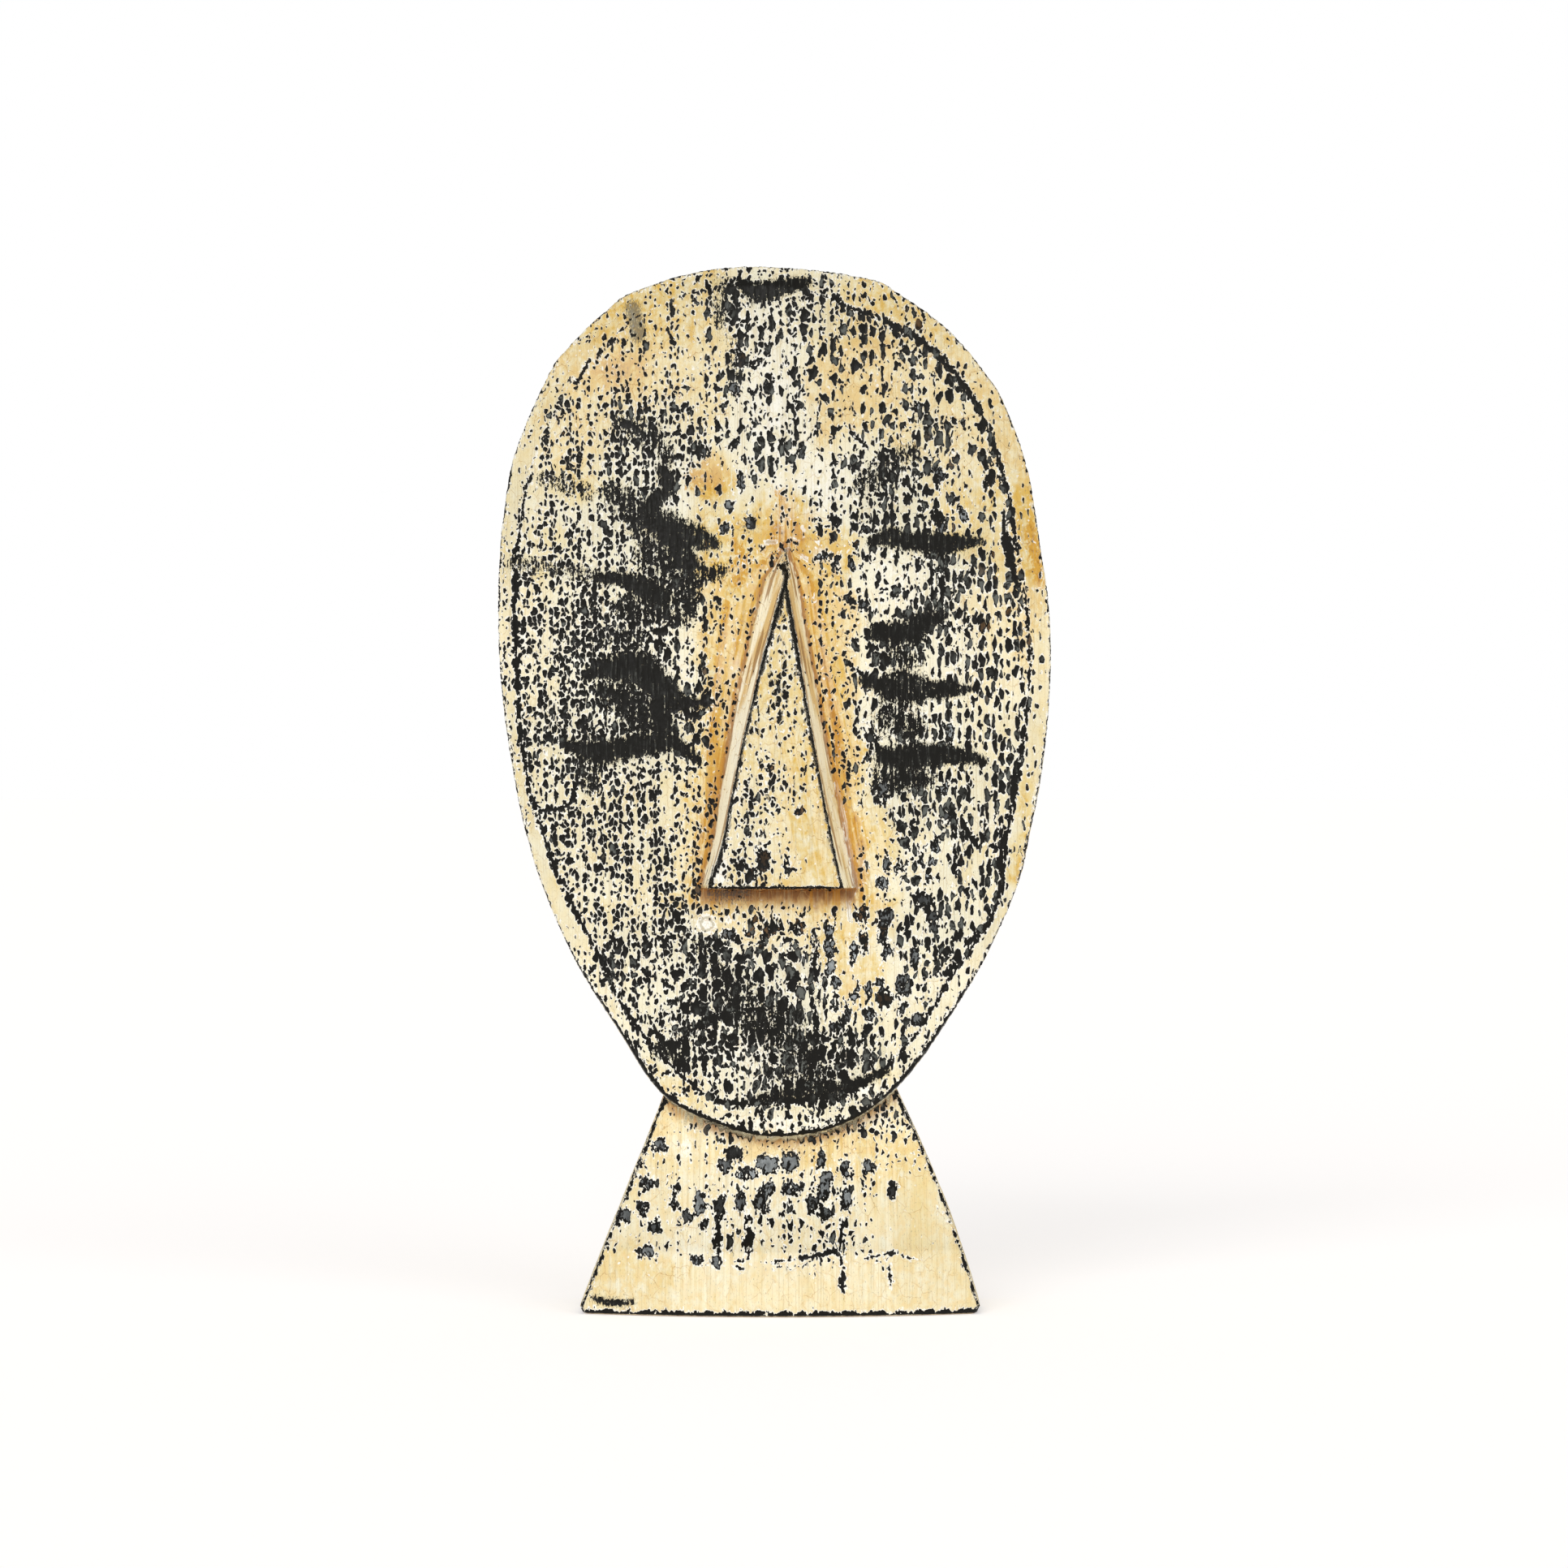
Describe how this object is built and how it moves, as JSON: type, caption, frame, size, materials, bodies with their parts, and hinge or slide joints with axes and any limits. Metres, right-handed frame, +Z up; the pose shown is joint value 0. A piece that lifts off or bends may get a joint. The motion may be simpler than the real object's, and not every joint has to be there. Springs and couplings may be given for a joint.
{
  "type": "wooden mask on foot",
  "caption": "Carved wooden mask: an egg-shaped face board with a bevelled rim and a long three-cornered nose, standing on its own flared foot.",
  "frame": {"origin": "on the standing surface, under the middle of the mask's bounding box", "axes": "+Z up along the grain, the face looks along -Y, +X is to the right seen from the front"},
  "size_m": [0.213, 0.076, 0.3998],
  "materials": {
    "painted_wood": "thick cream paint over black, rubbed through along the grain and over the edges, with amber stain in the hollows"
  },
  "bodies": {
    "root": {"carved_mask": "painted_wood"}
  },
  "joints": []
}
